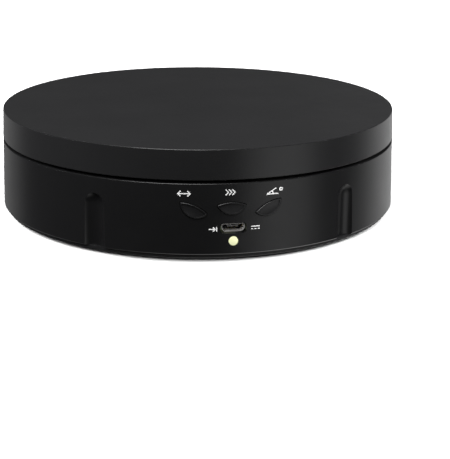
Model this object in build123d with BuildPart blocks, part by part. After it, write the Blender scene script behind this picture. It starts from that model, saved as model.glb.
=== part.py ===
from build123d import *
import os
from math import acos, asin, cos, degrees, pi, radians, sin, tan

# Motorised turntable display stand: a low round base with a geared motor inside,
# and a platter that turns on a ring of balls on top of it.
# Millimetres. +Z is up, the stand rests on its feet at z = 0, its axis is the Z axis,
# and the controls and the power socket face -Y.

# ---------------------------------------------------------------- driving dimensions
total_height = 38.0
base_radius = 73.0  # at the foot of the wall, the widest place
rim_radius = 72.4  # at the joint line between base and platter
platter_edge_radius = 72.0
foot_stand = 1.0  # how far the feet lift the cover
joint_gap = 1.1  # visible gap between base and platter
rim_round = 0.25  # on the two edges at that gap
top_round = 0.3  # on the platter's upper rim
skirt_height = 10.25
cover_lip = 1.5  # height of the cover's edge below the shell
fit_gap = 0.02  # round a screw or a pressed pin

# Casing
wall = 2.4
deck_thickness = 2.4
cover_z = foot_stand
shell_foot_z = cover_z + cover_lip
skirt_z = total_height - skirt_height
deck_z = skirt_z - joint_gap
deck_under_z = deck_z - deck_thickness
dust_lip_outer_r = 68.2
dust_lip_inner_r = 66.4
dust_lip_top_z = 31.5
cover_inner_z = 3.0

# Platter
platter_top = 2.6
skirt_wall = 2.2
platter_under_z = total_height - platter_top
rib_under_z = platter_under_z - 1.4
rib_thickness = 1.5
rib_count = 12
rib_ring_r = 26.0
pad_z = platter_under_z - 1.0

# Ball bearing
ball_radius = 2.5
ball_circle = 60.5
ball_count = 18
race_half_width = 3.3
race_groove = 0.5
groove_clearance = 0.04
ball_z = (deck_z + pad_z) / 2
lower_race_z = ball_z - ball_radius + race_groove
upper_race_z = ball_z + ball_radius - race_groove
cage_thickness = 1.3
cage_half_width = 3.6

# Gears
module = 1.0
pressure_angle = radians(20)
pinion_teeth = 16
ring_teeth = 96
tooth_thinning = 0.1  # off each tooth and on to each space, for backlash
pinion_pitch_r = module * pinion_teeth / 2
ring_pitch_r = module * ring_teeth / 2
ring_addendum = 0.8 * module
pinion_addendum = 0.95 * module
dedendum = 1.25 * module
shaft_y = ring_pitch_r - pinion_pitch_r
ring_gear_z = 28.2
ring_gear_outer_r = 51.6
ring_flange_r = 56.0
ring_flange_z = 32.4
ring_screw_circle = 53.6
ring_screw_count = 6

# Geared motor
motor_radius = 14.0
motor_height = 19.0
motor_top_z = 23.5
motor_y = shaft_y - 8.0
motor_plate = 0.8
motor_boss_r = 4.5
motor_boss_height = 1.5
motor_ear_x = 17.5
motor_ear_r = 3.5
motor_shaft_r = 2.5
motor_shaft_flat = 1.5
motor_shaft_top_z = motor_top_z + 10.0
pinion_z = 27.9
pinion_height = 5.0

# Spindle
spindle_r = 4.0
bush_r = 6.0
bush_clearance = 0.04
bush_flange_r = 8.0
bush_flange = 0.8
hub_r = 9.5
hub_z = 18.0
spindle_foot_z = 17.4
spindle_top_z = 36.0

# Controls on the front wall
leaf_pitch = 12.4
leaf_shift = -0.6  # of the three buttons from the socket's middle
leaf_z = 19.35  # of the middle button's tips
side_leaf_z = 18.45
leaf_length = 9.6
leaf_above = 1.0
leaf_below = 3.2
leaf_tilt = 25.0
leaf_tip_r = 0.35
switch_drop = 1.2  # the switches stand this much lower than the tips
leaf_clearance = 0.2
dish_floor_r = 14.0
button_proud = 0.5
button_rim = 0.4  # width of the rim left round the dished face
button_dish = 0.45  # depth of the dish under the upper rim; it runs out at the lower edge
panel_y = 69.0  # flat inner face behind the controls
socket_z = 11.5
lamp_z = 7.1
lamp_r = 1.5
lamp_clearance = 0.15
board_y = 63.5
board_thickness = 1.6
board_width = 42.0
board_low_z = 4.3
board_high_z = 23.7
board_screw_x = 18.0
board_screw_z = 8.0
switch_side = 6.0
switch_height = 3.5
plunger_r = 1.75
plunger_tip = 0.8

# Grip flutes round the base
flute_count = 5
flute_r = 5.0
flute_depth = 1.8
flute_top_z = 21.4
flute_start = 88.5  # bearing of the rear flute
flute_skin = 2.2
flute_axis_r = (base_radius + rim_radius) / 2 + flute_r - flute_depth

# Cover, its posts and feet
post_circle = 61.0
post_r = 3.6
cover_radius = 72.0
cover_edge_fillet = 0.6
spigot_radius = 70.2
foot_circle = 57.0
foot_r = 6.0
foot_recess = 0.8
foot_count = 4

controls = [
    ("direction", leaf_shift - leaf_pitch, side_leaf_z, -leaf_tilt),
    ("speed", leaf_shift, leaf_z, 0.0),
    ("angle", leaf_shift + leaf_pitch, side_leaf_z, leaf_tilt),
]

os.makedirs("parts", exist_ok=True)


# ---------------------------------------------------------------- helpers
def save(piece, name):
    """Labels a finished piece and writes it as a STEP file of that name."""
    piece.part.label = name
    export_step(piece.part, f"parts/{name}.step")


def tube(outer_r, inner_r, low_z, high_z, mode=Mode.ADD):
    """A ring about Z between two heights, in the current part."""
    with BuildSketch(Plane.XY.offset(low_z)) as section:
        Circle(outer_r)
        if inner_r:
            Circle(inner_r, mode=Mode.SUBTRACT)
    extrude(section.sketch, amount=high_z - low_z, mode=mode)


def column(x, y, r, low_z, high_z, mode=Mode.ADD):
    """A vertical round bar at x, y, in the current part."""
    with BuildSketch(Plane.XY.offset(low_z)) as section:
        with Locations((x, y)):
            Circle(r)
    extrude(section.sketch, amount=high_z - low_z, mode=mode)


def brick(low, high, mode=Mode.ADD):
    """A box between two corners, in the current part."""
    size = [b - a for a, b in zip(low, high)]
    middle = [(a + b) / 2 for a, b in zip(low, high)]
    with Locations(tuple(middle)):
        Box(*size, mode=mode)


def turned(points):
    """A solid of revolution about Z from a closed outline of (radius, z) points."""
    with BuildPart() as body:
        with BuildSketch(Plane.XZ):
            with BuildLine():
                Polyline(*points, close=True)
            make_face()
        revolve(axis=Axis.Z)
    return body


def wall_radius(z):
    """The drafted outer radius of the base at a height."""
    share = (z - shell_foot_z) / (deck_z - shell_foot_z)
    return base_radius + share * (rim_radius - base_radius)


def flank(pitch_r, half_angle, low_r, high_r):
    """Involute points, as (radius, angle from the tooth's middle), from low_r to high_r."""
    base_r = pitch_r * cos(pressure_angle)
    at_pitch = tan(pressure_angle) - pressure_angle
    steps = 6
    found = []
    for i in range(steps + 1):
        r = low_r + (high_r - low_r) * i / steps
        pressure = acos(min(1.0, base_r / r))
        found.append((r, half_angle + at_pitch - (tan(pressure) - pressure)))
    return found


def tooth(pitch_r, half_angle, low_r, high_r, foot_r, tip_r):
    """The outline of one involute tooth, or of one tooth space, about the X axis."""
    left = [(r * cos(a), r * sin(a)) for r, a in flank(pitch_r, half_angle, low_r, high_r)]
    right = [(x, -y) for x, y in left]
    foot = (foot_r * left[0][0] / low_r, foot_r * left[0][1] / low_r)
    with BuildSketch() as outline:
        with BuildLine():
            Spline(*left)
            if tip_r > high_r:
                head = (tip_r * left[-1][0] / high_r, tip_r * left[-1][1] / high_r)
                Line(left[-1], head)
                ThreePointArc(head, (tip_r, 0), (head[0], -head[1]))
                Line((head[0], -head[1]), right[-1])
            else:
                ThreePointArc(left[-1], (tip_r, 0), right[-1])
            Spline(*right[::-1])
            Line(right[0], (foot[0], -foot[1]))
            Line((foot[0], -foot[1]), foot)
            Line(foot, left[0])
        make_face()
    return outline


def leaf(grow=0.0):
    """The button outline, the lens that two discs share: flatter above its tips than below."""
    half = leaf_length / 2
    upper_r = (half**2 + leaf_above**2) / (2 * leaf_above)
    lower_r = (half**2 + leaf_below**2) / (2 * leaf_below)
    with BuildSketch() as outline:
        with Locations((0, leaf_above - upper_r)):
            Circle(upper_r + grow)
        with Locations((0, lower_r - leaf_below)):
            Circle(lower_r + grow, mode=Mode.INTERSECT)
        fillet(outline.vertices(), leaf_tip_r)
    return outline


def leaf_at(x, z, tilt, grow=0.0):
    """The button outline at its place on a plane parallel to XZ."""
    with BuildSketch() as placed:
        with Locations(Location((x, z, 0), (0, 0, tilt))):
            add(leaf(grow).sketch)
    return placed.sketch


def screw_up(x, y, shank_r, head_r, head_height, seat_z, tip_z):
    """A pan-head screw whose head hangs below seat_z and whose tip points up."""
    column(x, y, shank_r, seat_z, tip_z)
    column(x, y, head_r, seat_z - head_height, seat_z)
    with BuildSketch(Plane.XY.offset(seat_z - head_height)) as cross:
        with Locations((x, y)):
            Rectangle(head_r, head_r / 4)
            Rectangle(head_r / 4, head_r)
    extrude(cross.sketch, amount=head_height / 2, mode=Mode.SUBTRACT)


def around(count, radius, start=0.0):
    """Points evenly spaced on a circle, from a start angle in degrees."""
    angles = [radians(start + 360 * i / count) for i in range(count)]
    return [(radius * cos(a), radius * sin(a)) for a in angles]


# ---------------------------------------------------------------- platter
with BuildPart() as platter:
    with BuildSketch(Plane.XZ):
        with BuildLine():
            Polyline(
                (0, total_height),
                (platter_edge_radius, total_height),
                (rim_radius, skirt_z),
                (rim_radius - skirt_wall, skirt_z),
                (rim_radius - skirt_wall, platter_under_z),
                (0, platter_under_z),
                close=True,
            )
        make_face()
    revolve(axis=Axis.Z)
    fillet(platter.edges().group_by(Axis.Z)[-1], top_round)
    fillet(platter.edges().group_by(Axis.Z)[0], rim_round)
    tube(ring_flange_r, ring_pitch_r, pad_z, platter_under_z)
    tube(ball_circle + race_half_width, ball_circle - race_half_width, pad_z, platter_under_z)
    tube(65.0, ball_circle + race_half_width + 0.1, pad_z - 0.8, platter_under_z)
    with PolarLocations(0, rib_count, start_angle=15):
        with Locations((ring_pitch_r / 2, 0, (rib_under_z + platter_under_z) / 2)):
            Box(ring_pitch_r, rib_thickness, platter_under_z - rib_under_z)
    tube(rib_ring_r, rib_ring_r - rib_thickness, rib_under_z, platter_under_z)
    tube(bush_flange_r, 0, deck_z + bush_flange + 0.3, platter_under_z)
    column(0, 0, spindle_r + fit_gap, deck_z, spindle_top_z, mode=Mode.SUBTRACT)
    for x, y in around(ring_screw_count, ring_screw_circle, 30):
        column(x, y, 1.0 + fit_gap, pad_z - 1, total_height - 1.4, mode=Mode.SUBTRACT)
save(platter, "platter")

# ---------------------------------------------------------------- ring gear
with BuildPart() as ring_gear:
    tube(ring_gear_outer_r, ring_pitch_r - ring_addendum, ring_gear_z, pad_z)
    tube(ring_flange_r - 0.2, ring_pitch_r + dedendum, ring_flange_z, pad_z)
    space_angle = (pi * module / 2 + tooth_thinning) / (2 * ring_pitch_r)
    tip_r = ring_pitch_r - ring_addendum
    root_r = ring_pitch_r + dedendum
    space = tooth(ring_pitch_r, space_angle, tip_r, root_r, tip_r - 0.3, root_r)
    with BuildSketch(Plane.XY.offset(ring_gear_z)) as spaces:
        with PolarLocations(0, ring_teeth):
            add(space.sketch)
    extrude(spaces.sketch, amount=pad_z - ring_gear_z, mode=Mode.SUBTRACT)
    for x, y in around(ring_screw_count, ring_screw_circle, 30):
        column(x, y, 1.0 + fit_gap, ring_gear_z, pad_z, mode=Mode.SUBTRACT)
        column(x, y, 2.1, ring_gear_z, ring_flange_z, mode=Mode.SUBTRACT)
save(ring_gear, "ring_gear")

with BuildPart() as ring_gear_screws:
    for x, y in around(ring_screw_count, ring_screw_circle, 30):
        screw_up(x, y, 1.0, 1.9, 1.3, ring_flange_z, total_height - 1.6)
save(ring_gear_screws, "ring_gear_screws")

# ---------------------------------------------------------------- drive pinion and motor shaft
with BuildPart() as motor_shaft:
    column(0, shaft_y, motor_shaft_r, motor_top_z - 3.0, motor_shaft_top_z)
    chamfer(motor_shaft.edges().group_by(Axis.Z)[-1], 0.3)
    for side in (-1, 1):
        low = (side * motor_shaft_flat, shaft_y - 3, motor_shaft_top_z - 6)
        high = (side * 4, shaft_y + 3, motor_shaft_top_z)
        brick([min(p, q) for p, q in zip(low, high)], [max(p, q) for p, q in zip(low, high)], Mode.SUBTRACT)
save(motor_shaft, "motor_shaft")

with BuildPart() as drive_pinion:
    pinion_root_r = pinion_pitch_r - dedendum
    base_circle = pinion_pitch_r * cos(pressure_angle)
    tooth_angle = (pi * module / 2 - tooth_thinning) / (2 * pinion_pitch_r)
    pinion_tip_r = pinion_pitch_r + pinion_addendum
    shape = tooth(pinion_pitch_r, tooth_angle, base_circle, pinion_tip_r, pinion_root_r - 0.3, pinion_tip_r)
    with BuildSketch(Plane.XY.offset(pinion_z)):
        with Locations((0, shaft_y)):
            Circle(pinion_root_r)
            with PolarLocations(0, pinion_teeth):
                add(shape.sketch)
            with BuildSketch(mode=Mode.PRIVATE) as keyed_bore:
                Circle(motor_shaft_r + fit_gap)
                Rectangle(2 * (motor_shaft_flat + fit_gap), 8, mode=Mode.INTERSECT)
            add(keyed_bore.sketch, mode=Mode.SUBTRACT)
    extrude(amount=pinion_height)
save(drive_pinion, "drive_pinion")

# ---------------------------------------------------------------- ball bearing
race_inner_r = ball_circle - race_half_width
race_outer_r = ball_circle + race_half_width


def race(low_z, high_z):
    """A flat steel ring with a groove that the balls run in."""
    with BuildPart() as ring:
        tube(race_outer_r, race_inner_r, low_z, high_z)
        with BuildSketch(Plane.XZ):
            with Locations((ball_circle, ball_z)):
                Circle(ball_radius + groove_clearance)
        revolve(axis=Axis.Z, mode=Mode.SUBTRACT)
    return ring


lower_race = race(deck_z, lower_race_z)
save(lower_race, "lower_race")
upper_race = race(upper_race_z, pad_z)
save(upper_race, "upper_race")

with BuildPart() as ball_cage:
    tube(
        ball_circle + cage_half_width,
        ball_circle - cage_half_width,
        ball_z - cage_thickness / 2,
        ball_z + cage_thickness / 2,
    )
    for x, y in around(ball_count, ball_circle):
        column(x, y, ball_radius + 0.1, ball_z - cage_thickness, ball_z + cage_thickness, mode=Mode.SUBTRACT)
save(ball_cage, "ball_cage")

with BuildPart() as bearing_balls:
    with Locations([(x, y, ball_z) for x, y in around(ball_count, ball_circle)]):
        Sphere(ball_radius)
save(bearing_balls, "bearing_balls")

# ---------------------------------------------------------------- spindle
with BuildPart() as spindle:
    column(0, 0, spindle_r, spindle_foot_z, spindle_top_z)
    chamfer(spindle.edges().group_by(Axis.Z)[0], 0.4)
    chamfer(spindle.edges().group_by(Axis.Z)[-1], 0.4)
    column(0, 0, 1.5 + fit_gap, spindle_foot_z, spindle_foot_z + 9, mode=Mode.SUBTRACT)
save(spindle, "spindle")

with BuildPart() as spindle_bush:
    tube(bush_r - fit_gap, spindle_r + bush_clearance, hub_z - 0.2, deck_z)
    tube(bush_flange_r, spindle_r + bush_clearance, deck_z, deck_z + bush_flange)
save(spindle_bush, "spindle_bush")

with BuildPart() as retaining_washer:
    tube(7.5, 1.5 + fit_gap, spindle_foot_z - 0.8, spindle_foot_z)
save(retaining_washer, "retaining_washer")

with BuildPart() as retaining_screw:
    screw_up(0, 0, 1.5, 2.8, 2.0, spindle_foot_z - 0.8, spindle_foot_z + 8)
save(retaining_screw, "retaining_screw")

# ---------------------------------------------------------------- base shell
posts = around(4, post_circle, 45)
flutes = around(flute_count, flute_axis_r, flute_start)

cavity_outline = [
    (0, 0),
    (base_radius - wall, 0),
    (base_radius - wall, shell_foot_z),
    (rim_radius - wall, deck_under_z),
    (0, deck_under_z),
]
cavity_core = turned(cavity_outline)
with BuildPart() as cavity:
    add(cavity_core.part)
    # the flat pad behind the controls, and its relief to each side
    brick((-22, -80, 0), (22, -panel_y, deck_z), Mode.SUBTRACT)
    brick((-20, -panel_y, 13.6), (20, -60, 22.4))
    # the wall follows each flute inwards
    for x, y in flutes:
        column(x, y, flute_r + flute_skin, 0, flute_top_z - 4, mode=Mode.SUBTRACT)
        with Locations((x, y, flute_top_z - 4)):
            Sphere(flute_r + flute_skin, mode=Mode.SUBTRACT)
    # posts that the cover screws bite into, hub, motor bosses and board pillars
    for x, y in posts:
        column(x, y, post_r, cover_inner_z + 2, deck_z, mode=Mode.SUBTRACT)
    tube(hub_r, 0, hub_z, deck_z, Mode.SUBTRACT)
    for angle in (45, 135, 225, 315):
        with Locations(Location((0, 0, 0), (0, 0, angle))):
            with Locations((16, 0, deck_under_z - 1.5)):
                Box(18, 1.6, 3.0, mode=Mode.SUBTRACT)
    for x in (-motor_ear_x, motor_ear_x):
        column(x, motor_y, motor_ear_r, motor_top_z, deck_z, mode=Mode.SUBTRACT)
    for x in (-board_screw_x, board_screw_x):
        with BuildSketch(Plane.XZ.offset(board_y)):
            with Locations((x, board_screw_z)):
                Circle(2.5)
        extrude(amount=12, mode=Mode.SUBTRACT)

with BuildPart() as base_shell:
    with BuildSketch(Plane.XZ):
        with BuildLine():
            Polyline(
                (0, shell_foot_z),
                (base_radius, shell_foot_z),
                (rim_radius, deck_z),
                (0, deck_z),
                close=True,
            )
        make_face()
    revolve(axis=Axis.Z)
    fillet(base_shell.edges().group_by(Axis.Z)[-1], rim_round)
    chamfer(base_shell.edges().group_by(Axis.Z)[0], 0.35)
    # dust lip inside the skirt, and the ribs that keep the lower race in place
    tube(dust_lip_outer_r, dust_lip_inner_r, deck_z - 0.5, dust_lip_top_z)
    tube(race_outer_r + 1.1, race_outer_r + 0.1, deck_z - 0.5, deck_z + 0.8)
    tube(race_inner_r - 0.1, race_inner_r - 1.1, deck_z - 0.5, deck_z + 0.8)
    for x in (-motor_ear_x, motor_ear_x):
        column(x, motor_y, motor_ear_r, deck_z - 0.5, deck_z + 2.6)
    add(cavity.part, mode=Mode.SUBTRACT)
    for x, y in flutes:
        column(x, y, flute_r, 0, flute_top_z - 4, mode=Mode.SUBTRACT)
        with Locations((x, y, flute_top_z - 4)):
            Sphere(flute_r, mode=Mode.SUBTRACT)
    for x, y in posts:
        column(x, y, 1.5 + fit_gap, 0, 14.5, mode=Mode.SUBTRACT)
    column(0, 0, bush_r, 0, deck_z + 1, mode=Mode.SUBTRACT)
    column(0, shaft_y, motor_boss_r + 0.3, 10, deck_z + 1, mode=Mode.SUBTRACT)
    for x in (-motor_ear_x, motor_ear_x):
        column(x, motor_y, 1.5 + fit_gap, 10, deck_z + 1.6, mode=Mode.SUBTRACT)
    for x in (-board_screw_x, board_screw_x):
        with BuildSketch(Plane.XZ.offset(board_y)):
            with Locations((x, board_screw_z)):
                Circle(1.0 + fit_gap)
        extrude(amount=5, mode=Mode.SUBTRACT)
    # openings for the three buttons, the power socket and the lamp
    with BuildSketch(Plane.XZ.offset(panel_y - 3)):
        for _, x, z, tilt in controls:
            add(leaf_at(x, z, tilt, leaf_clearance))
        with Locations((0, socket_z)):
            RectangleRounded(8.8, 3.5, 1.2)
        with Locations((0, lamp_z)):
            Circle(lamp_r + lamp_clearance)
    extrude(amount=8, mode=Mode.SUBTRACT)
save(base_shell, "base_shell")

# ---------------------------------------------------------------- bottom cover, its screws and feet
with BuildPart() as bottom_cover:
    tube(cover_radius, 0, cover_z, shell_foot_z)
    fillet(bottom_cover.edges().group_by(Axis.Z)[0], cover_edge_fillet)
    tube(spigot_radius, 0, shell_foot_z, cover_inner_z)
    tube(spigot_radius, spigot_radius - 1.4, cover_inner_z, cover_inner_z + 1.2)
    brick((-23, -80, shell_foot_z), (23, -panel_y + 0.3, cover_inner_z + 2), Mode.SUBTRACT)
    for x, y in flutes:
        column(x, y, flute_r + flute_skin + 0.3, shell_foot_z, cover_inner_z + 2, mode=Mode.SUBTRACT)
    tube(57.0, 55.4, cover_inner_z, cover_inner_z + 1.5)
    tube(21.0, 19.4, cover_inner_z, cover_inner_z + 1.3)
    for x, y in posts:
        column(x, y, 5.0, cover_inner_z, cover_inner_z + 2)
        column(x, y, 3.1, 0, cover_inner_z + 0.3, mode=Mode.SUBTRACT)
        column(x, y, 1.6, cover_inner_z, cover_inner_z + 3, mode=Mode.SUBTRACT)
    for x, y in around(foot_count, foot_circle):
        column(x, y, foot_r + 0.1, 0, cover_z + foot_recess, mode=Mode.SUBTRACT)
    with BuildSketch(Plane.XY.offset(cover_z)):
        RectangleRounded(46, 24, 3)
    extrude(amount=0.3, mode=Mode.SUBTRACT)
save(bottom_cover, "bottom_cover")

with BuildPart() as cover_screws:
    for x, y in posts:
        screw_up(x, y, 1.5, 2.8, 1.8, cover_inner_z + 0.3, 13.5)
save(cover_screws, "cover_screws")

foot_names = ("foot_right", "foot_rear", "foot_left", "foot_front")
for name, (x, y) in zip(foot_names, around(foot_count, foot_circle)):
    with BuildPart() as foot:
        column(x, y, foot_r, 0, cover_z + foot_recess)
        fillet(foot.edges().group_by(Axis.Z)[0], 0.5)
    save(foot, name)

# ---------------------------------------------------------------- geared motor
wire_cover_y = motor_y - 17.0
wire_cover_low = (-7.3, wire_cover_y, 7.6)
wire_cover_high = (7.3, motor_y - 12.7, 19.4)
wire_notch_low = (-7.4, wire_cover_y, 7.5)  # in the can, 0.1 larger than the cover it takes
wire_notch_high = (7.4, motor_y - 12.6, 19.5)
with BuildPart() as motor_can:
    column(0, motor_y, motor_radius, motor_top_z - motor_height, motor_top_z - motor_plate)
    fillet(motor_can.edges().group_by(Axis.Z)[0], 1.0)
    column(0, shaft_y, motor_shaft_r + 0.3, motor_top_z - 3.2, motor_top_z, mode=Mode.SUBTRACT)
    brick(wire_notch_low, wire_notch_high, Mode.SUBTRACT)
save(motor_can, "motor_can")

with BuildPart() as motor_face_plate:
    with BuildSketch(Plane.XY.offset(motor_top_z - motor_plate)):
        with Locations((0, motor_y)):
            Circle(motor_radius)
            SlotCenterToCenter(2 * motor_ear_x, 2 * motor_ear_r)
            with Locations((-motor_ear_x, 0), (motor_ear_x, 0)):
                Circle(2.1, mode=Mode.SUBTRACT)
    extrude(amount=motor_plate)
    column(0, shaft_y, motor_boss_r, motor_top_z, motor_top_z + motor_boss_height)
    column(0, shaft_y, motor_shaft_r + 0.05, 0, total_height, mode=Mode.SUBTRACT)
save(motor_face_plate, "motor_face_plate")

with BuildPart() as motor_screws:
    for x in (-motor_ear_x, motor_ear_x):
        screw_up(x, motor_y, 1.5, 3.0, 2.0, motor_top_z - motor_plate, deck_z + 1.4)
save(motor_screws, "motor_screws")

lead_count = 5
lead_r = 0.6
lead_exit_z = 9.2
lead_exit_pitch = 1.6
with BuildPart() as motor_wire_cover:
    brick(wire_cover_low, wire_cover_high)
    fillet(motor_wire_cover.edges().filter_by(Axis.Z).sort_by(Axis.Y)[0:2], 1.0)
    column(0, motor_y, motor_radius + 0.05, 15, 25, mode=Mode.SUBTRACT)
    for i in range(lead_count):
        with BuildSketch(Plane.XZ.offset(-wire_cover_y - 2)):
            with Locations(((i - 2) * lead_exit_pitch, lead_exit_z)):
                Circle(lead_r)
        extrude(amount=2, mode=Mode.SUBTRACT)
save(motor_wire_cover, "motor_wire_cover")

# ---------------------------------------------------------------- control board
board_back_y = -board_y + board_thickness
with BuildPart() as control_board:
    half = board_width / 2
    brick((-half, -board_y, board_low_z), (half, board_back_y, board_high_z))
    fillet(control_board.edges().filter_by(Axis.Y), 1.0)
    with BuildSketch(Plane.XZ.offset(board_y)):
        with Locations((-board_screw_x, board_screw_z), (board_screw_x, board_screw_z)):
            Circle(1.15)
    extrude(amount=-board_thickness, mode=Mode.SUBTRACT)
save(control_board, "control_board")

with BuildPart() as board_screws:
    for x in (-board_screw_x, board_screw_x):
        with BuildSketch(Plane.XZ.offset(-board_back_y)):
            with Locations((x, board_screw_z)):
                Circle(1.0)
        extrude(amount=board_thickness + 4.5)
        with BuildSketch(Plane.XZ.offset(-board_back_y)):
            with Locations((x, board_screw_z)):
                Circle(1.9)
        extrude(amount=-1.3)
        with BuildSketch(Plane.XZ.offset(-board_back_y - 1.3)):
            with Locations((x, board_screw_z)):
                Rectangle(2.0, 0.5)
                Rectangle(0.5, 2.0)
        extrude(amount=0.6, mode=Mode.SUBTRACT)
save(board_screws, "board_screws")

# ---------------------------------------------------------------- buttons and switches
pin_column = 3.25
pin_row = 2.25
with BuildPart() as switch_pins:
    for _, x, z, _ in controls:
        switch_z = z - switch_drop
        for pin_x in (x - pin_column, x + pin_column):
            for pin_z in (switch_z - pin_row, switch_z + pin_row):
                pin_low = (pin_x - 0.15, -board_y - 1.2, pin_z - 0.35)
                pin_high = (pin_x + 0.15, -board_y, pin_z + 0.35)
                brick(pin_low, pin_high)
save(switch_pins, "switch_pins")

plunger_y = -board_y - switch_height - plunger_tip
skin = turned(
    [
        (0, 5),
        (wall_radius(5) + button_proud, 5),
        (wall_radius(25) + button_proud, 25),
        (0, 25),
    ]
)


def dish(x, z, tilt):
    """The hollow in a button's face: its floor follows the wall and is deepest at the top."""
    face_r = wall_radius(z) + button_proud
    with BuildPart() as floor:
        with BuildSketch(Plane.XZ):
            with BuildLine():
                Polyline(
                    (face_r + 0.05, -leaf_below),
                    (face_r + 2, -leaf_below),
                    (face_r + 2, leaf_above),
                    (face_r - button_dish, leaf_above),
                )
                RadiusArc((face_r - button_dish, leaf_above), (face_r + 0.05, -leaf_below), -dish_floor_r)
            make_face()
        revolve(axis=Axis.Z)
    azimuth = degrees(asin(x / face_r))
    placed = Location((0, 0, z)) * Rotation(0, 0, azimuth) * Rotation(0, -tilt, 0) * floor.part
    with BuildPart() as hollow:
        with BuildSketch(Plane.XZ.offset(panel_y - 1.0)):
            add(leaf_at(x, z, tilt, -button_rim))
        extrude(amount=8)
        add(placed, mode=Mode.INTERSECT)
    return hollow


for name, x, z, tilt in controls:
    switch_z = z - switch_drop
    with BuildPart() as switch:
        half = switch_side / 2
        brick((x - half, -board_y - switch_height, switch_z - half), (x + half, -board_y, switch_z + half))
        with BuildSketch(Plane.XZ.offset(board_y + switch_height)):
            with Locations((x, switch_z)):
                Circle(plunger_r + 0.05)
        extrude(amount=-2.0, mode=Mode.SUBTRACT)
    save(switch, f"switch_{name}")

    with BuildPart() as plunger:
        with BuildSketch(Plane.XZ.offset(-plunger_y)):
            with Locations((x, switch_z)):
                Circle(plunger_r)
        extrude(amount=-plunger_tip - 1.2)
    save(plunger, f"plunger_{name}")

    hollow = dish(x, z, tilt)
    with BuildPart() as button:
        with BuildSketch(Plane.XZ.offset(panel_y - 0.2)):
            add(leaf_at(x, z, tilt))
        extrude(amount=8)
        add(skin.part, mode=Mode.INTERSECT)
        outer_face = button.faces().sort_by(Axis.Y)[0]
        fillet(outer_face.edges(), 0.18)
        add(hollow.part, mode=Mode.SUBTRACT)
        with BuildSketch(Plane.XZ.offset(panel_y - 0.8)):
            add(leaf_at(x, z, tilt, 0.9))
        extrude(amount=0.7)
        with BuildSketch(Plane.XZ.offset(-plunger_y)):
            with Locations((x, switch_z)):
                Circle(1.6)
        extrude(amount=panel_y + plunger_y - 0.5)
    save(button, f"button_{name}")

# ---------------------------------------------------------------- power socket
socket_half_width = 3.45
socket_half_height = 0.92
socket_foot_half = 2.7  # half of the narrower lower side


def socket_outline(grow):
    """The D-like outline of a small power socket, wide at the top, on an XZ plane."""
    with BuildSketch() as outline:
        with BuildLine():
            Polyline(
                (-socket_half_width, socket_half_height),
                (socket_half_width, socket_half_height),
                (socket_half_width, -0.1),
                (socket_foot_half, -socket_half_height),
                (-socket_foot_half, -socket_half_height),
                (-socket_half_width, -0.1),
                close=True,
            )
        make_face()
        fillet(outline.vertices(), 0.25)
        if grow:
            offset(amount=grow)
    with BuildSketch() as placed:
        with Locations((0, socket_z)):
            add(outline.sketch)
    return placed.sketch


socket_sheet = 0.22
socket_flare = 0.25  # how far the mouth opens outwards
socket_mouth_y = 71.9
socket_lip = 0.6
with BuildPart() as usb_shell:
    with BuildSketch(Plane.XZ.offset(board_y)):
        add(socket_outline(socket_sheet))
    extrude(amount=socket_mouth_y - socket_lip - board_y)
    with BuildSketch(Plane.XZ.offset(socket_mouth_y - socket_lip)):
        add(socket_outline(socket_sheet))
    with BuildSketch(Plane.XZ.offset(socket_mouth_y)):
        add(socket_outline(socket_sheet + socket_flare))
    loft()
    with BuildSketch(Plane.XZ.offset(board_y + 1.0)):
        add(socket_outline(0))
    extrude(amount=socket_mouth_y - socket_lip - board_y - 1.0, mode=Mode.SUBTRACT)
    with BuildSketch(Plane.XZ.offset(socket_mouth_y - socket_lip)):
        add(socket_outline(0))
    with BuildSketch(Plane.XZ.offset(socket_mouth_y)):
        add(socket_outline(socket_flare))
    loft(mode=Mode.SUBTRACT)
save(usb_shell, "usb_shell")

tongue_z = socket_z + 0.4
with BuildPart() as usb_tongue:
    brick((-1.85, -socket_mouth_y + 0.9, tongue_z - 0.3), (1.85, -board_y - 1.0, tongue_z + 0.3))
    with BuildSketch(Plane.XZ.offset(board_y + 1.0)):
        add(socket_outline(-0.03))
    extrude(amount=1.0)
save(usb_tongue, "usb_tongue")

with BuildPart() as usb_contacts:
    for i in range(5):
        x = (i - 2) * 0.65
        brick((x - 0.15, -socket_mouth_y + 1.1, tongue_z - 0.38), (x + 0.15, -board_y - 2.0, tongue_z - 0.3))
save(usb_contacts, "usb_contacts")

# ---------------------------------------------------------------- lamp
lamp_face_y = wall_radius(lamp_z)
lamp_dome = 0.4
lamp_dome_r = (lamp_r**2 + lamp_dome**2) / (2 * lamp_dome)
lamp_flange_r = 2.4
lamp_flange_y = panel_y - 0.1
with BuildPart() as light_pipe:
    with BuildSketch(Plane(origin=(0, 0, lamp_z), x_dir=(1, 0, 0), z_dir=(0, 0, 1))):
        with BuildLine():
            Polyline(
                (0, -lamp_face_y - lamp_dome),
                (0, -lamp_flange_y + 1.0),
                (lamp_flange_r, -lamp_flange_y + 1.0),
                (lamp_flange_r, -lamp_flange_y),
                (lamp_r, -lamp_flange_y),
                (lamp_r, -lamp_face_y),
            )
            RadiusArc((lamp_r, -lamp_face_y), (0, -lamp_face_y - lamp_dome), lamp_dome_r)
        make_face()
    revolve(axis=Axis((0, 0, lamp_z), (0, 1, 0)))
save(light_pipe, "light_pipe")

with BuildPart() as status_led:
    brick((-1.75, -board_y - 1.9, lamp_z - 1.4), (1.75, -board_y, lamp_z + 1.4))
    chamfer(status_led.edges().group_by(Axis.Y)[0], 0.3)
save(status_led, "status_led")

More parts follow.
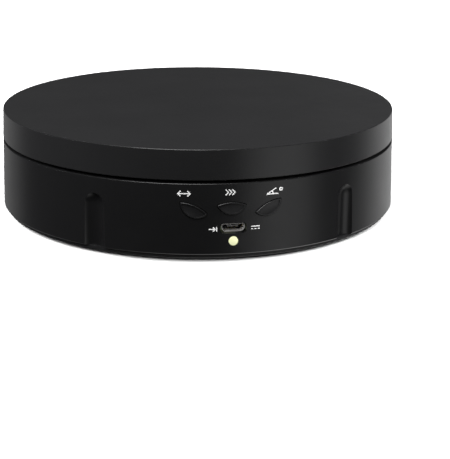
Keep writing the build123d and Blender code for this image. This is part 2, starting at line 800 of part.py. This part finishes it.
# ---------------------------------------------------------------- parts on the back of the board
chip_x = -8.0
chip_z = 15.5
chip_pitch = 1.27
with BuildPart() as controller_chip:
    brick((chip_x - 5, board_back_y + 0.15, chip_z - 2), (chip_x + 5, board_back_y + 1.7, chip_z + 2))
    chamfer(controller_chip.edges().group_by(Axis.Y)[-1], 0.3)
save(controller_chip, "controller_chip")

with BuildPart() as chip_legs:
    for i in range(8):
        x = chip_x + (i - 3.5) * chip_pitch
        for side in (-1, 1):
            z = chip_z + side * 2.5
            brick((x - 0.2, board_back_y, z - 0.5), (x + 0.2, board_back_y + 0.8, z + 0.5))
save(chip_legs, "chip_legs")

with BuildPart() as supply_capacitor:
    with BuildSketch(Plane.XZ.offset(-board_back_y)):
        with Locations((-2.0, 8.4)):
            Circle(2.5)
    extrude(amount=-5.5)
    fillet(supply_capacitor.edges().sort_by(Axis.Y)[-1], 0.4)
save(supply_capacitor, "supply_capacitor")

plug_x = 9.0
plug_z = 15.0
plug_pitch = 2.5
header_low = (plug_x - 7.4, board_back_y, plug_z - 2.9)
header_high = (plug_x + 7.4, board_back_y + 7, plug_z + 2.9)
pocket_low = (plug_x - 6.5, board_back_y + 1.2, plug_z - 2.1)
pocket_high = (plug_x + 6.5, board_back_y + 8, plug_z + 2.1)
with BuildPart() as lead_header:
    brick(header_low, header_high)
    brick(pocket_low, pocket_high, Mode.SUBTRACT)
save(lead_header, "lead_header")

plug_back_y = board_back_y + 9.5
with BuildPart() as lead_plug:
    brick((plug_x - 6.3, board_back_y + 1.4, plug_z - 1.9), (plug_x + 6.3, plug_back_y, plug_z + 1.9))
    for i in range(lead_count):
        with BuildSketch(Plane.XZ.offset(-plug_back_y)):
            with Locations((plug_x + (i - 2) * plug_pitch, plug_z)):
                Circle(lead_r)
        extrude(amount=2, mode=Mode.SUBTRACT)
save(lead_plug, "lead_plug")

lead_low_z = 6.2  # the leads lie just above the cover
lead_bend_r = 6.0
for i, colour in enumerate(("blue", "pink", "yellow", "orange", "red")):
    start_x = (i - 2) * lead_exit_pitch
    end_x = plug_x + (i - 2) * plug_pitch
    with BuildPart() as motor_lead:
        with BuildLine() as route:
            FilletPolyline(
                (start_x, wire_cover_y + 2, lead_exit_z),
                (start_x, wire_cover_y - 7, lead_exit_z),
                (start_x, -4, lead_low_z),
                (end_x, -33, lead_low_z),
                (end_x, plug_back_y + 5, plug_z),
                (end_x, plug_back_y - 2, plug_z),
                radius=lead_bend_r,
            )
        with BuildSketch(Plane(origin=route.line @ 0, z_dir=route.line % 0)):
            Circle(lead_r)
        sweep()
    save(motor_lead, f"motor_lead_{colour}")
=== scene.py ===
from math import ceil, cos, radians, sin

import bpy
from mathutils import Matrix, Vector


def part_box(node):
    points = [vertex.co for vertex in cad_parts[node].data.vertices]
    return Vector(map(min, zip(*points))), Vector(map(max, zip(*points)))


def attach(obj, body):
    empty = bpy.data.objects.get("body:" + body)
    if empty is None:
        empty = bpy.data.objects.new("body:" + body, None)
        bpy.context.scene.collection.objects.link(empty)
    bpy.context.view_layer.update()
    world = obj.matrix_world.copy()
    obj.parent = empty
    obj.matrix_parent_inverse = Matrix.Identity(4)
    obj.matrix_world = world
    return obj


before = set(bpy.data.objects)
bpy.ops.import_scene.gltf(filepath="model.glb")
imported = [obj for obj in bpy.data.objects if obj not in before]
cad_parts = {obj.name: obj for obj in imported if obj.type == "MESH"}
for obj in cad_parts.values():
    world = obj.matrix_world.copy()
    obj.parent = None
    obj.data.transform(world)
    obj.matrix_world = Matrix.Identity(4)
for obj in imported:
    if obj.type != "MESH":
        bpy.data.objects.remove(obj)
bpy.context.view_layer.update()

MM = 0.001

# ---------------------------------------------------------------- sizes worked out from the frame
base_low, base_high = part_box("base_shell")
platter_low, platter_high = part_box("platter")
foot_radius = base_high[0]  # at the foot of the wall
rim_radius = platter_high[0]  # at the joint between base and platter


# ---------------------------------------------------------------- materials
# scales are in features per metre
SMEAR_SCALE = 90  # uneven gloss of plastic
TARNISH_SCALE = 120
TRACK_SCALE = 320  # copper tracks under solder mask
WEAVE_SCALE = 2200  # glass cloth in the board
GLOW_SCALE = 900
LENS_SCALE = 1500
TOOL_MARK_DEPTH = 0.006 * MM
TRACK_DEPTH = 0.035 * MM
LENS_BODY = (0.3, 0.28, 0.18, 1)


def new_material(name):
    material = bpy.data.materials.new(name)
    material.use_nodes = True
    tree = material.node_tree
    return material, tree, tree.nodes["Principled BSDF"]


def noise(tree, scale, detail=3.0, roughness=0.5, stretch=(1, 1, 1)):
    """Noise in object space; scale is in features per metre."""
    place = tree.nodes.new("ShaderNodeTexCoord")
    mapping = tree.nodes.new("ShaderNodeMapping")
    mapping.inputs["Scale"].default_value = stretch
    texture = tree.nodes.new("ShaderNodeTexNoise")
    texture.inputs["Scale"].default_value = scale
    texture.inputs["Detail"].default_value = detail
    texture.inputs["Roughness"].default_value = roughness
    tree.links.new(place.outputs["Object"], mapping.inputs["Vector"])
    tree.links.new(mapping.outputs["Vector"], texture.inputs["Vector"])
    return texture.outputs["Fac"]


def spread(tree, value, low, high, start=0.3, end=0.7):
    """Maps a 0..1 value, between start and end, to the range low..high."""
    node = tree.nodes.new("ShaderNodeMapRange")
    node.inputs["From Min"].default_value = start
    node.inputs["From Max"].default_value = end
    node.inputs["To Min"].default_value = low
    node.inputs["To Max"].default_value = high
    tree.links.new(value, node.inputs["Value"])
    return node.outputs["Result"]


def mix_colours(tree, value, first, second):
    """The first colour where the value is 0, the second where it is 1."""
    node = tree.nodes.new("ShaderNodeMix")
    node.data_type = "RGBA"
    node.inputs["A"].default_value = (*first, 1)
    node.inputs["B"].default_value = (*second, 1)
    tree.links.new(value, node.inputs["Factor"])
    return node.outputs["Result"]


def bump(tree, shader, height, distance, strength=1.0):
    node = tree.nodes.new("ShaderNodeBump")
    node.inputs["Strength"].default_value = strength
    node.inputs["Distance"].default_value = distance
    tree.links.new(height, node.inputs["Height"])
    tree.links.new(node.outputs["Normal"], shader.inputs["Normal"])


def moulded(name, dark, light, rough_low, rough_high, grain=2600, depth=0.02, shade_scale=35):
    """Moulded plastic: fine spark texture, slow changes of shade and uneven gloss. Depth is in mm."""
    material, tree, shader = new_material(name)
    slow = noise(tree, shade_scale, detail=4)
    colour = mix_colours(tree, spread(tree, slow, 0, 1), dark, light)
    tree.links.new(colour, shader.inputs["Base Color"])
    smear = noise(tree, SMEAR_SCALE, detail=5, roughness=0.6)
    tree.links.new(spread(tree, smear, rough_low, rough_high), shader.inputs["Roughness"])
    bump(tree, shader, noise(tree, grain, detail=2), depth * MM)
    return material


def metal(name, dark, light, rough_low, rough_high, stretch=(1, 1, 1), grain=1800):
    """Worked metal: tool marks along one direction, slow tarnish and uneven gloss."""
    material, tree, shader = new_material(name)
    shader.inputs["Metallic"].default_value = 1.0
    tarnish = noise(tree, TARNISH_SCALE, detail=4)
    colour = mix_colours(tree, spread(tree, tarnish, 0, 1), dark, light)
    tree.links.new(colour, shader.inputs["Base Color"])
    marks = noise(tree, grain, detail=4, roughness=0.6, stretch=stretch)
    tree.links.new(spread(tree, marks, rough_low, rough_high), shader.inputs["Roughness"])
    bump(tree, shader, marks, TOOL_MARK_DEPTH)
    return material


def laminate(name, dark, light):
    """Solder mask over copper tracks and glass weave."""
    material, tree, shader = new_material(name)
    tracks = noise(tree, TRACK_SCALE, detail=1, roughness=0.3, stretch=(1, 1, 3))
    colour = mix_colours(tree, spread(tree, tracks, 0, 1, start=0.47, end=0.5), dark, light)
    tree.links.new(colour, shader.inputs["Base Color"])
    weave = noise(tree, WEAVE_SCALE, detail=1, roughness=0.4, stretch=(1, 1, 0.3))
    tree.links.new(spread(tree, weave, 0.22, 0.36), shader.inputs["Roughness"])
    bump(tree, shader, tracks, TRACK_DEPTH)
    shader.inputs["Coat Weight"].default_value = 0.3
    return material


def lit(name, deep, pale, strength):
    """A lens or a package with light coming through it, a little uneven."""
    material, tree, shader = new_material(name)
    glow = mix_colours(tree, spread(tree, noise(tree, GLOW_SCALE), 0, 1), deep, pale)
    shader.inputs["Base Color"].default_value = LENS_BODY
    tree.links.new(glow, shader.inputs["Emission Color"])
    shader.inputs["Emission Strength"].default_value = strength
    tree.links.new(spread(tree, noise(tree, LENS_SCALE), 0.12, 0.22), shader.inputs["Roughness"])
    return material


# each entry is a material and the nodes that it covers
finishes = [
    (
        moulded("platter_black", (0.0085, 0.0085, 0.0089), (0.0095, 0.0095, 0.0099), 0.29, 0.33),
        ["platter"],
    ),
    (
        moulded("shell_black", (0.0049, 0.0049, 0.0052), (0.0056, 0.0056, 0.0059), 0.29, 0.33),
        ["base_shell"],
    ),
    (
        moulded("button_black", (0.006, 0.006, 0.0064), (0.0075, 0.0075, 0.008), 0.28, 0.36,
                grain=3200, depth=0.012),
        ["button_direction", "button_speed", "button_angle"],
    ),
    (
        moulded("cover_black", (0.006, 0.006, 0.0065), (0.0085, 0.0085, 0.009), 0.42, 0.55,
                grain=1500, depth=0.05),
        ["bottom_cover"],
    ),
    (
        moulded("foot_rubber", (0.012, 0.012, 0.012), (0.03, 0.029, 0.028), 0.7, 0.88,
                grain=1900, depth=0.06, shade_scale=140),
        ["foot_right", "foot_rear", "foot_left", "foot_front"],
    ),
    (
        moulded("acetal", (0.66, 0.65, 0.6), (0.78, 0.77, 0.72), 0.32, 0.45,
                grain=1400, shade_scale=60),
        ["ring_gear", "drive_pinion", "ball_cage", "spindle_bush"],
    ),
    (
        moulded("component_black", (0.012, 0.012, 0.013), (0.024, 0.024, 0.026), 0.35, 0.5,
                grain=3400, shade_scale=160),
        ["controller_chip", "supply_capacitor", "switch_direction", "switch_speed", "switch_angle"],
    ),
    (
        moulded("tongue_grey", (0.13, 0.13, 0.13), (0.19, 0.19, 0.19), 0.35, 0.5,
                grain=3000, depth=0.01, shade_scale=300),
        ["usb_tongue"],
    ),
    (
        moulded("plunger_brown", (0.05, 0.028, 0.016), (0.075, 0.042, 0.024), 0.35, 0.5,
                grain=3000, depth=0.015, shade_scale=200),
        ["plunger_direction", "plunger_speed", "plunger_angle"],
    ),
    (
        moulded("nylon", (0.7, 0.67, 0.58), (0.8, 0.78, 0.7), 0.35, 0.5,
                grain=2200, shade_scale=120),
        ["lead_header", "lead_plug"],
    ),
    (
        moulded("wire_cover_blue", (0.02, 0.09, 0.42), (0.03, 0.13, 0.55), 0.35, 0.48,
                grain=2000, shade_scale=90),
        ["motor_wire_cover"],
    ),
    (
        metal("race_steel", (0.5, 0.5, 0.51), (0.66, 0.66, 0.67), 0.22, 0.42, stretch=(1, 1, 6)),
        ["upper_race", "lower_race"],
    ),
    (
        metal("ball_steel", (0.62, 0.62, 0.63), (0.75, 0.75, 0.76), 0.08, 0.2, grain=900),
        ["bearing_balls"],
    ),
    (
        metal("ground_steel", (0.5, 0.5, 0.51), (0.64, 0.64, 0.66), 0.18, 0.34, stretch=(1, 1, 9)),
        ["spindle", "motor_shaft"],
    ),
    (
        metal("zinc_plate", (0.45, 0.46, 0.48), (0.62, 0.62, 0.6), 0.25, 0.45, grain=1100),
        ["ring_gear_screws", "retaining_washer", "retaining_screw", "cover_screws", "motor_screws",
         "board_screws"],
    ),
    (
        metal("can_steel", (0.52, 0.51, 0.48), (0.66, 0.65, 0.61), 0.24, 0.42, stretch=(1, 1, 5)),
        ["motor_can"],
    ),
    (
        metal("plate_steel", (0.5, 0.5, 0.49), (0.64, 0.63, 0.61), 0.26, 0.44, stretch=(7, 1, 1)),
        ["motor_face_plate"],
    ),
    (
        metal("tin_plate", (0.55, 0.55, 0.55), (0.7, 0.7, 0.69), 0.25, 0.45, grain=2600),
        ["switch_pins", "chip_legs"],
    ),
    (
        metal("socket_nickel", (0.68, 0.67, 0.65), (0.82, 0.81, 0.79), 0.42, 0.55, grain=2600),
        ["usb_shell"],
    ),
    (
        metal("contact_gold", (0.7, 0.46, 0.12), (0.86, 0.62, 0.2), 0.18, 0.34, grain=3000),
        ["usb_contacts"],
    ),
    (laminate("board_green", (0.004, 0.03, 0.012), (0.01, 0.06, 0.024)), ["control_board"]),
    (lit("lamp_lens", (0.84, 0.9, 0.48), (0.96, 1.0, 0.64), 0.68), ["light_pipe"]),
    (lit("led_white", (0.95, 0.98, 0.7), (1.0, 1.0, 0.85), 0.9), ["status_led"]),
]
LEAD_SHADE = 0.8  # the darker of a lead's two shades, as a share of the lighter
lead_colours = {
    "blue": (0.02, 0.09, 0.55),
    "pink": (0.72, 0.2, 0.32),
    "yellow": (0.8, 0.6, 0.04),
    "orange": (0.78, 0.2, 0.02),
    "red": (0.6, 0.03, 0.025),
}
for colour, tint in lead_colours.items():
    shade = tuple(LEAD_SHADE * channel for channel in tint)
    insulation = moulded(f"pvc_{colour}", shade, tint, 0.32, 0.48, grain=1700, depth=0.03, shade_scale=150)
    finishes.append((insulation, [f"motor_lead_{colour}"]))
ink = moulded("ink_white", (0.74, 0.74, 0.74), (0.84, 0.84, 0.83), 0.45, 0.6,
              grain=5200, depth=0.008, shade_scale=900)

for material, names in finishes:
    for name in names:
        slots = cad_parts[name].data.materials
        for i in range(len(slots)):
            slots[i] = material


# ---------------------------------------------------------------- printed marks on the wall
STROKE = 0.34 * MM
INK = 0.05 * MM
INK_LAYER = 0.1 * INK  # each further stroke of a mark is thicker by this, so that crossings share no face
MITRE_LIMIT = 0.5  # least cosine of half a bend that a mitre allows for
INK_STEP = 0.5 * MM  # longest straight piece of a stroke on the curved wall
JOINT_GAP = 1.1 * MM  # between base and platter
wall_low_z = base_low[2]
wall_high_z = platter_low[2] - JOINT_GAP


def on_wall(x, z, lift):
    """A point on the drafted front wall, lifted off it."""
    share = (z - wall_low_z) / (wall_high_z - wall_low_z)
    radius = foot_radius + share * (rim_radius - foot_radius) + lift
    return (x, -((radius**2 - x**2) ** 0.5), z)


def stepped(points, closed):
    """The same line with extra points, so that it follows the wall's curve."""
    found = []
    count = len(points)
    for i in range(count if closed else count - 1):
        here, there = points[i], points[(i + 1) % count]
        steps = max(1, ceil((there - here).length / INK_STEP))
        found += [here.lerp(there, j / steps) for j in range(steps)]
    return found if closed else found + [points[-1]]


def ribbon(points, closed):
    """The two edges of a line of even width through some points, mitred at its bends."""
    sides = []
    count = len(points)
    for i, point in enumerate(points):
        before = points[i - 1] if i or closed else None
        after = points[(i + 1) % count] if i < count - 1 or closed else None
        ways = []
        if before:
            ways.append((point - before).normalized())
        if after:
            ways.append((after - point).normalized())
        along = sum(ways, Vector((0, 0))).normalized()
        across = Vector((-along.y, along.x))
        reach = STROKE / 2 / max(MITRE_LIMIT, along.dot(ways[0]))
        sides.append((point + across * reach, point - across * reach))
    return sides


def print_mark(name, centre, strokes):
    """White ink in the shape of some strokes; each is (points in mm round the centre, closed)."""
    middle_point = Vector(centre) * MM
    vertices, faces = [], []
    for order, (points, closed) in enumerate(strokes):
        path = stepped([middle_point + Vector(point) * MM for point in points], closed)
        sides = ribbon(path, closed)
        start = len(vertices)
        front = INK + order * INK_LAYER
        for left, right in sides:
            vertices += [on_wall(*left, 0), on_wall(*left, front), on_wall(*right, front), on_wall(*right, 0)]
        count = len(sides)
        for i in range(count if closed else count - 1):
            here, there = start + 4 * i, start + 4 * ((i + 1) % count)
            for j in range(4):
                k = (j + 1) % 4
                faces.append((here + j, here + k, there + k, there + j))
        if not closed:
            last = start + 4 * (count - 1)
            faces.append((start + 3, start + 2, start + 1, start))
            faces.append((last, last + 1, last + 2, last + 3))
    mesh = bpy.data.meshes.new(name)
    mesh.from_pydata(vertices, [], faces)
    mesh.materials.append(ink)
    item = bpy.data.objects.new(name, mesh)
    bpy.context.scene.collection.objects.link(item)
    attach(item, "base")


def arc(centre, radius, start, end, steps):
    """Points along an arc, in degrees."""
    turns = [radians(start + (end - start) * i / steps) for i in range(steps + 1)]
    return [(centre[0] + radius * cos(a), centre[1] + radius * sin(a)) for a in turns]


two_way = [
    ([(-1.9, 0), (1.9, 0)], False),
    ([(-1.1, 0.9), (-2.0, 0), (-1.1, -0.9)], False),
    ([(1.1, 0.9), (2.0, 0), (1.1, -0.9)], False),
]
faster = [([(x, 0.95), (x + 0.9, 0), (x, -0.95)], False) for x in (-1.6, -0.5, 0.6)]
angle = [
    ([(-2.8, -0.95), (1.3, -0.95)], False),
    ([(-2.7, -0.9), (0.5, 0.95)], False),
    (arc((-2.7, -0.95), 2.1, 0, 30.7, 5), False),
    (arc((2.2, 0.45), 0.48, 0, 330, 11), True),
]
inward = [
    ([(-1.3, 0), (0.7, 0)], False),
    ([(0.1, 0.7), (0.8, 0), (0.1, -0.7)], False),
    ([(1.3, -0.8), (1.3, 0.8)], False),
]
direct_current = [([(-1.45, 0.45), (1.45, 0.45)], False)]
direct_current += [([(x - 0.32, -0.4), (x + 0.32, -0.4)], False) for x in (-1.12, 0, 1.12)]
marks = [  # each is a name, its centre's x and height on the wall in mm, and its strokes
    ("mark_two_way", (-16.1, 23.35), two_way),
    ("mark_faster", (-1.05, 23.7), faster),
    ("mark_angle", (13.95, 23.2), angle),
    ("mark_inward", (-6.9, 11.3), inward),
    ("mark_direct_current", (7.4, 11.3), direct_current),
]
for name, centre, strokes in marks:
    print_mark(name, centre, strokes)

# ---------------------------------------------------------------- floor
FLOOR_SIZE = 6.0
GLOW_START = 0.4  # how far from the object the floor starts to glow, to stay white past the lights
GLOW_FULL = 0.8

scene = bpy.context.scene
scene.view_settings.view_transform = "Standard"
bpy.ops.mesh.primitive_plane_add(size=FLOOR_SIZE)
floor = bpy.context.object
floor.name = "floor"
floor_material, floor_tree, floor_shader = new_material("floor_white")
floor_shader.inputs["Base Color"].default_value = (0.6, 0.6, 0.6, 1)
floor_shader.inputs["Roughness"].default_value = 0.9
floor_place = floor_tree.nodes.new("ShaderNodeTexCoord")
floor_distance = floor_tree.nodes.new("ShaderNodeVectorMath")
floor_distance.operation = "LENGTH"
floor_tree.links.new(floor_place.outputs["Object"], floor_distance.inputs[0])
floor_glow = spread(floor_tree, floor_distance.outputs["Value"], 0, 1, GLOW_START, GLOW_FULL)
floor_tree.links.new(floor_glow, floor_shader.inputs["Emission Strength"])
floor.data.materials.append(floor_material)
floor.visible_glossy = False
floor.visible_diffuse = False

# ---------------------------------------------------------------- camera
PORT_AZIMUTH = radians(9.15)  # how far right of the view's centre the controls stand
REACH = 6.83464  # camera distance over the object's radius
ELEVATION = radians(14.17)
TILT = radians(3.42)  # how much further down the camera looks than at the object's middle
YAW = radians(1.22)  # how far the camera looks to the side of the object's middle
ROLL = radians(-0.45)
LENS = 103.37
SENSOR = 36.0
FOOT_STAND = 1.0 * MM  # how far the feet lift the casing

middle = Vector((0, 0, FOOT_STAND + (platter_high[2] - FOOT_STAND) / 2))
place = middle + REACH * foot_radius * Vector((0, -cos(ELEVATION), sin(ELEVATION)))
down = ELEVATION + TILT
back = Vector((-sin(YAW) * cos(down), -cos(YAW) * cos(down), sin(down)))
right = Vector((cos(YAW), -sin(YAW), 0))
up = back.cross(right)
right, up = cos(ROLL) * right - sin(ROLL) * up, sin(ROLL) * right + cos(ROLL) * up
turn = Matrix.Rotation(-PORT_AZIMUTH, 4, "Z")
pose = Matrix((right, up, back)).transposed().to_4x4()
pose.translation = place
camera_data = bpy.data.cameras.new("camera")
camera = bpy.data.objects.new("camera", camera_data)
scene.collection.objects.link(camera)
camera.matrix_world = turn @ pose
camera_data.sensor_width = SENSOR
camera_data.lens = LENS
scene.camera = camera


# ---------------------------------------------------------------- lights
def soft_light(name, where, size, power, mirrored):
    """An area light aimed at the object's middle; positions are in the camera's own turn.
    The glossy top shows it as a bright patch only if it is mirrored."""
    data = bpy.data.lights.new(name, "AREA")
    data.shape = "RECTANGLE"
    data.size, data.size_y = size
    data.energy = power
    item = bpy.data.objects.new(name, data)
    scene.collection.objects.link(item)
    item.location = turn @ Vector(where)
    item.rotation_euler = (middle - item.location).to_track_quat("-Z", "Y").to_euler()
    item.visible_glossy = mirrored


def studio_world(base, lobes):
    """A dim room with soft bright areas: each lobe is (bearing, height, half width, radiance), in degrees.
    A bearing of 0 is the camera's side and +90 its right."""
    world = bpy.data.worlds.new("studio")
    world.use_nodes = True
    tree = world.node_tree
    total = None
    place = tree.nodes.new("ShaderNodeTexCoord")
    for bearing, height, half_width, radiance in lobes:
        across, rise = radians(bearing), radians(height)
        aim = turn.to_3x3() @ Vector((sin(across) * cos(rise), -cos(across) * cos(rise), sin(rise)))
        dot = tree.nodes.new("ShaderNodeVectorMath")
        dot.operation = "DOT_PRODUCT"
        dot.inputs[1].default_value = aim
        tree.links.new(place.outputs["Generated"], dot.inputs[0])
        ramp = tree.nodes.new("ShaderNodeMapRange")
        ramp.interpolation_type = "SMOOTHERSTEP"
        ramp.inputs["From Min"].default_value = cos(radians(half_width))
        ramp.inputs["From Max"].default_value = 1.0
        ramp.inputs["To Min"].default_value = 0.0
        ramp.inputs["To Max"].default_value = radiance
        tree.links.new(dot.outputs["Value"], ramp.inputs["Value"])
        add = tree.nodes.new("ShaderNodeMath")
        add.operation = "ADD"
        tree.links.new(ramp.outputs["Result"], add.inputs[0])
        if total is None:
            add.inputs[1].default_value = base
        else:
            tree.links.new(total, add.inputs[1])
        total = add.outputs["Value"]
    tree.links.new(total, tree.nodes["Background"].inputs["Strength"])
    tree.nodes["Background"].inputs["Color"].default_value = (1, 1, 1, 1)
    scene.world = world


ROOM_LIGHT = 0.02
lobes = [(48, -13, 28, 0.82), (148, -30, 52, 0.8), (-152, -20, 38, 0.3), (110, -72, 45, 0.7)]
studio_world(ROOM_LIGHT, lobes)
soft_light("right_box", (0.82, 0.1, 0.55), (0.75, 0.75), power=31, mirrored=False)
soft_light("left_box", (-0.82, 0.12, 0.55), (0.75, 0.75), power=31, mirrored=False)
soft_light("front_box", (-0.2, -0.68, 0.75), (0.7, 0.7), power=13, mirrored=True)
